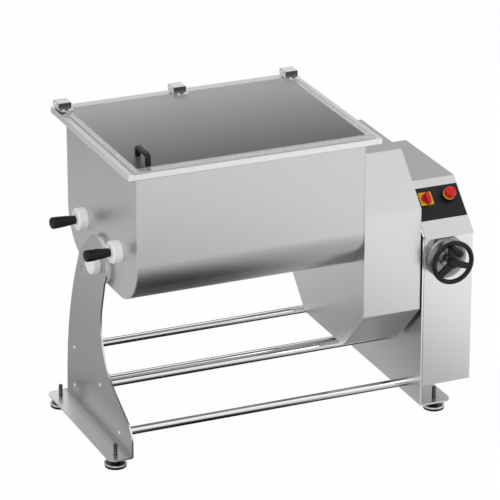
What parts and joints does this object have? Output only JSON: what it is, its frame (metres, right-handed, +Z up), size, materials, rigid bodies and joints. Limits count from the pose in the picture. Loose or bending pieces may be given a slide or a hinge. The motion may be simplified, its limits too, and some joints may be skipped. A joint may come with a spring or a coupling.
{
  "type": "tilting meat mixer",
  "caption": "Floor-standing tilting meat mixer: lidded twin-shaft tank on two legs, gear housing, control column with handwheel.",
  "frame": {"origin": "centre of the footprint's bounding box on the floor", "axes": "+X from the plain leg to the control column, -Y to the operator, +Z up"},
  "size_m": [1.2674, 0.768, 1.038],
  "materials": {
    "stainless_sheet": "fine brushed stainless sheet",
    "stainless_plate": "brushed stainless plate",
    "polished_bar": "polished bar",
    "fasteners": "bright fasteners",
    "foot_metal": "polished foot",
    "foot_rubber": "black rubber",
    "machined_steel": "turned steel",
    "agitator_steel": "satin stainless",
    "gear_steel": "oiled gear steel",
    "bearing_iron": "painted cast iron",
    "bronze": "bearing bronze",
    "hinge_steel": "satin stainless",
    "lid_sheet": "smoked translucent sheet",
    "black_plastic": "black moulded plastic",
    "estop_black": "black plastic",
    "white_plastic": "white food-safe plastic",
    "red_plastic": "red plastic",
    "yellow_plastic": "yellow plastic",
    "panel_foil": "near-black foil"
  },
  "bodies": {
    "base": {"left_leg": "stainless_plate", "right_leg": "stainless_plate", "tie_rods": "polished_bar", "tie_rod_nuts": "fasteners", "foot_pads": "foot_rubber", "foot_discs": "foot_metal", "foot_studs": "fasteners", "foot_locknuts": "fasteners", "column_shell": "stainless_sheet", "column_hood": "stainless_sheet", "column_cover": "stainless_sheet", "column_screws": "fasteners", "panel_label": "panel_foil", "switch_body": "black_plastic", "switch_plate": "yellow_plastic", "estop_base": "estop_black", "estop_ring": "yellow_plastic", "wheel_flange": "machined_steel", "worm_bracket": "bearing_iron", "pivot_bushes": "bronze", "pivot_cap": "white_plastic"},
    "tank": {"tank_trough": "stainless_sheet", "tank_end_left": "stainless_sheet", "tank_end_right": "stainless_sheet", "tank_rim": "stainless_sheet", "hinge_brackets": "hinge_steel", "shaft_caps": "white_plastic", "shaft_bushes": "white_plastic", "shaft_bearings": "bearing_iron", "pivot_pin": "machined_steel", "pivot_spacer": "white_plastic", "gear_housing": "stainless_sheet", "housing_cover": "stainless_sheet", "housing_screws": "fasteners", "tilt_trunnion": "machined_steel", "worm_wheel": "bronze", "gearmotor": "bearing_iron"},
    "lid": {"lid": "lid_sheet", "lid_handle": "black_plastic", "hinge_leaves": "hinge_steel", "hinge_pins": "fasteners", "hinge_screws": "fasteners"},
    "front_shaft": {"agitator_front": "agitator_steel", "gear_front": "gear_steel"},
    "rear_shaft": {"agitator_rear": "agitator_steel", "gear_rear": "gear_steel"},
    "front_idler": {"idler_front": "gear_steel"},
    "rear_idler": {"idler_rear": "gear_steel"},
    "front_pin": {"release_pin_front": "machined_steel", "pin_handle_front": "black_plastic"},
    "rear_pin": {"release_pin_rear": "machined_steel", "pin_handle_rear": "black_plastic"},
    "handwheel": {"handwheel": "black_plastic", "grip_pin": "machined_steel", "wheel_shaft": "machined_steel", "worm": "gear_steel"},
    "wheel_grip": {"wheel_grip": "black_plastic"},
    "switch_knob": {"switch_knob": "red_plastic"},
    "estop_button": {"estop_button": "red_plastic"}
  },
  "joints": [
    {"name": "tank_tilt", "type": "hinge", "parent": "base", "child": "tank", "pos_m": [-0.13435, 0.046, 0.592], "axis": [1, 0, 0], "range_deg": [0, 90]},
    {"name": "lid_open", "type": "hinge", "parent": "tank", "child": "lid", "pos_m": [-0.13435, 0.371, 1.0075], "axis": [-1, 0, 0], "range_deg": [0, 105]},
    {"name": "agitator_front_spin", "type": "hinge", "parent": "tank", "child": "front_shaft", "pos_m": [-0.13435, -0.104, 0.678], "axis": [1, 0, 0], "continuous": true},
    {"name": "agitator_rear_spin", "type": "hinge", "parent": "tank", "child": "rear_shaft", "pos_m": [-0.13435, 0.196, 0.678], "axis": [1, 0, 0], "continuous": true},
    {"name": "idler_front_spin", "type": "hinge", "parent": "tank", "child": "front_idler", "pos_m": [0.30765, -0.004, 0.678], "axis": [1, 0, 0], "continuous": true},
    {"name": "idler_rear_spin", "type": "hinge", "parent": "tank", "child": "rear_idler", "pos_m": [0.30765, 0.096, 0.678], "axis": [1, 0, 0], "continuous": true},
    {"name": "release_pin_front_pull", "type": "slide", "parent": "tank", "child": "front_pin", "axis": [-1, 0, 0], "range_m": [0, 0.045]},
    {"name": "release_pin_rear_pull", "type": "slide", "parent": "tank", "child": "rear_pin", "axis": [-1, 0, 0], "range_m": [0, 0.045]},
    {"name": "handwheel_turn", "type": "hinge", "parent": "base", "child": "handwheel", "pos_m": [0.53315, -0.304, 0.545], "axis": [0, -1, 0], "range_deg": [0, 3600]},
    {"name": "wheel_grip_spin", "type": "hinge", "parent": "handwheel", "child": "wheel_grip", "pos_m": [0.52325, -0.334, 0.60113], "axis": [0, -1, 0], "continuous": true},
    {"name": "main_switch", "type": "hinge", "parent": "base", "child": "switch_knob", "pos_m": [0.51065, -0.14731, 0.70809], "axis": [0, 0.6893, -0.7245], "range_deg": [0, 90]},
    {"name": "estop_press", "type": "slide", "parent": "base", "child": "estop_button", "axis": [0, 0.6893, -0.7245], "range_m": [0, 0.006], "stiffness_N_per_m": 1000, "springref_m": -0.002}
  ],
  "couplings": [
    {"joint": "agitator_rear_spin", "follows": "agitator_front_spin", "ratio": -1},
    {"joint": "idler_front_spin", "follows": "agitator_front_spin", "ratio": -1},
    {"joint": "idler_rear_spin", "follows": "agitator_front_spin", "ratio": 1},
    {"joint": "handwheel_turn", "follows": "tank_tilt", "ratio": 40}
  ]
}
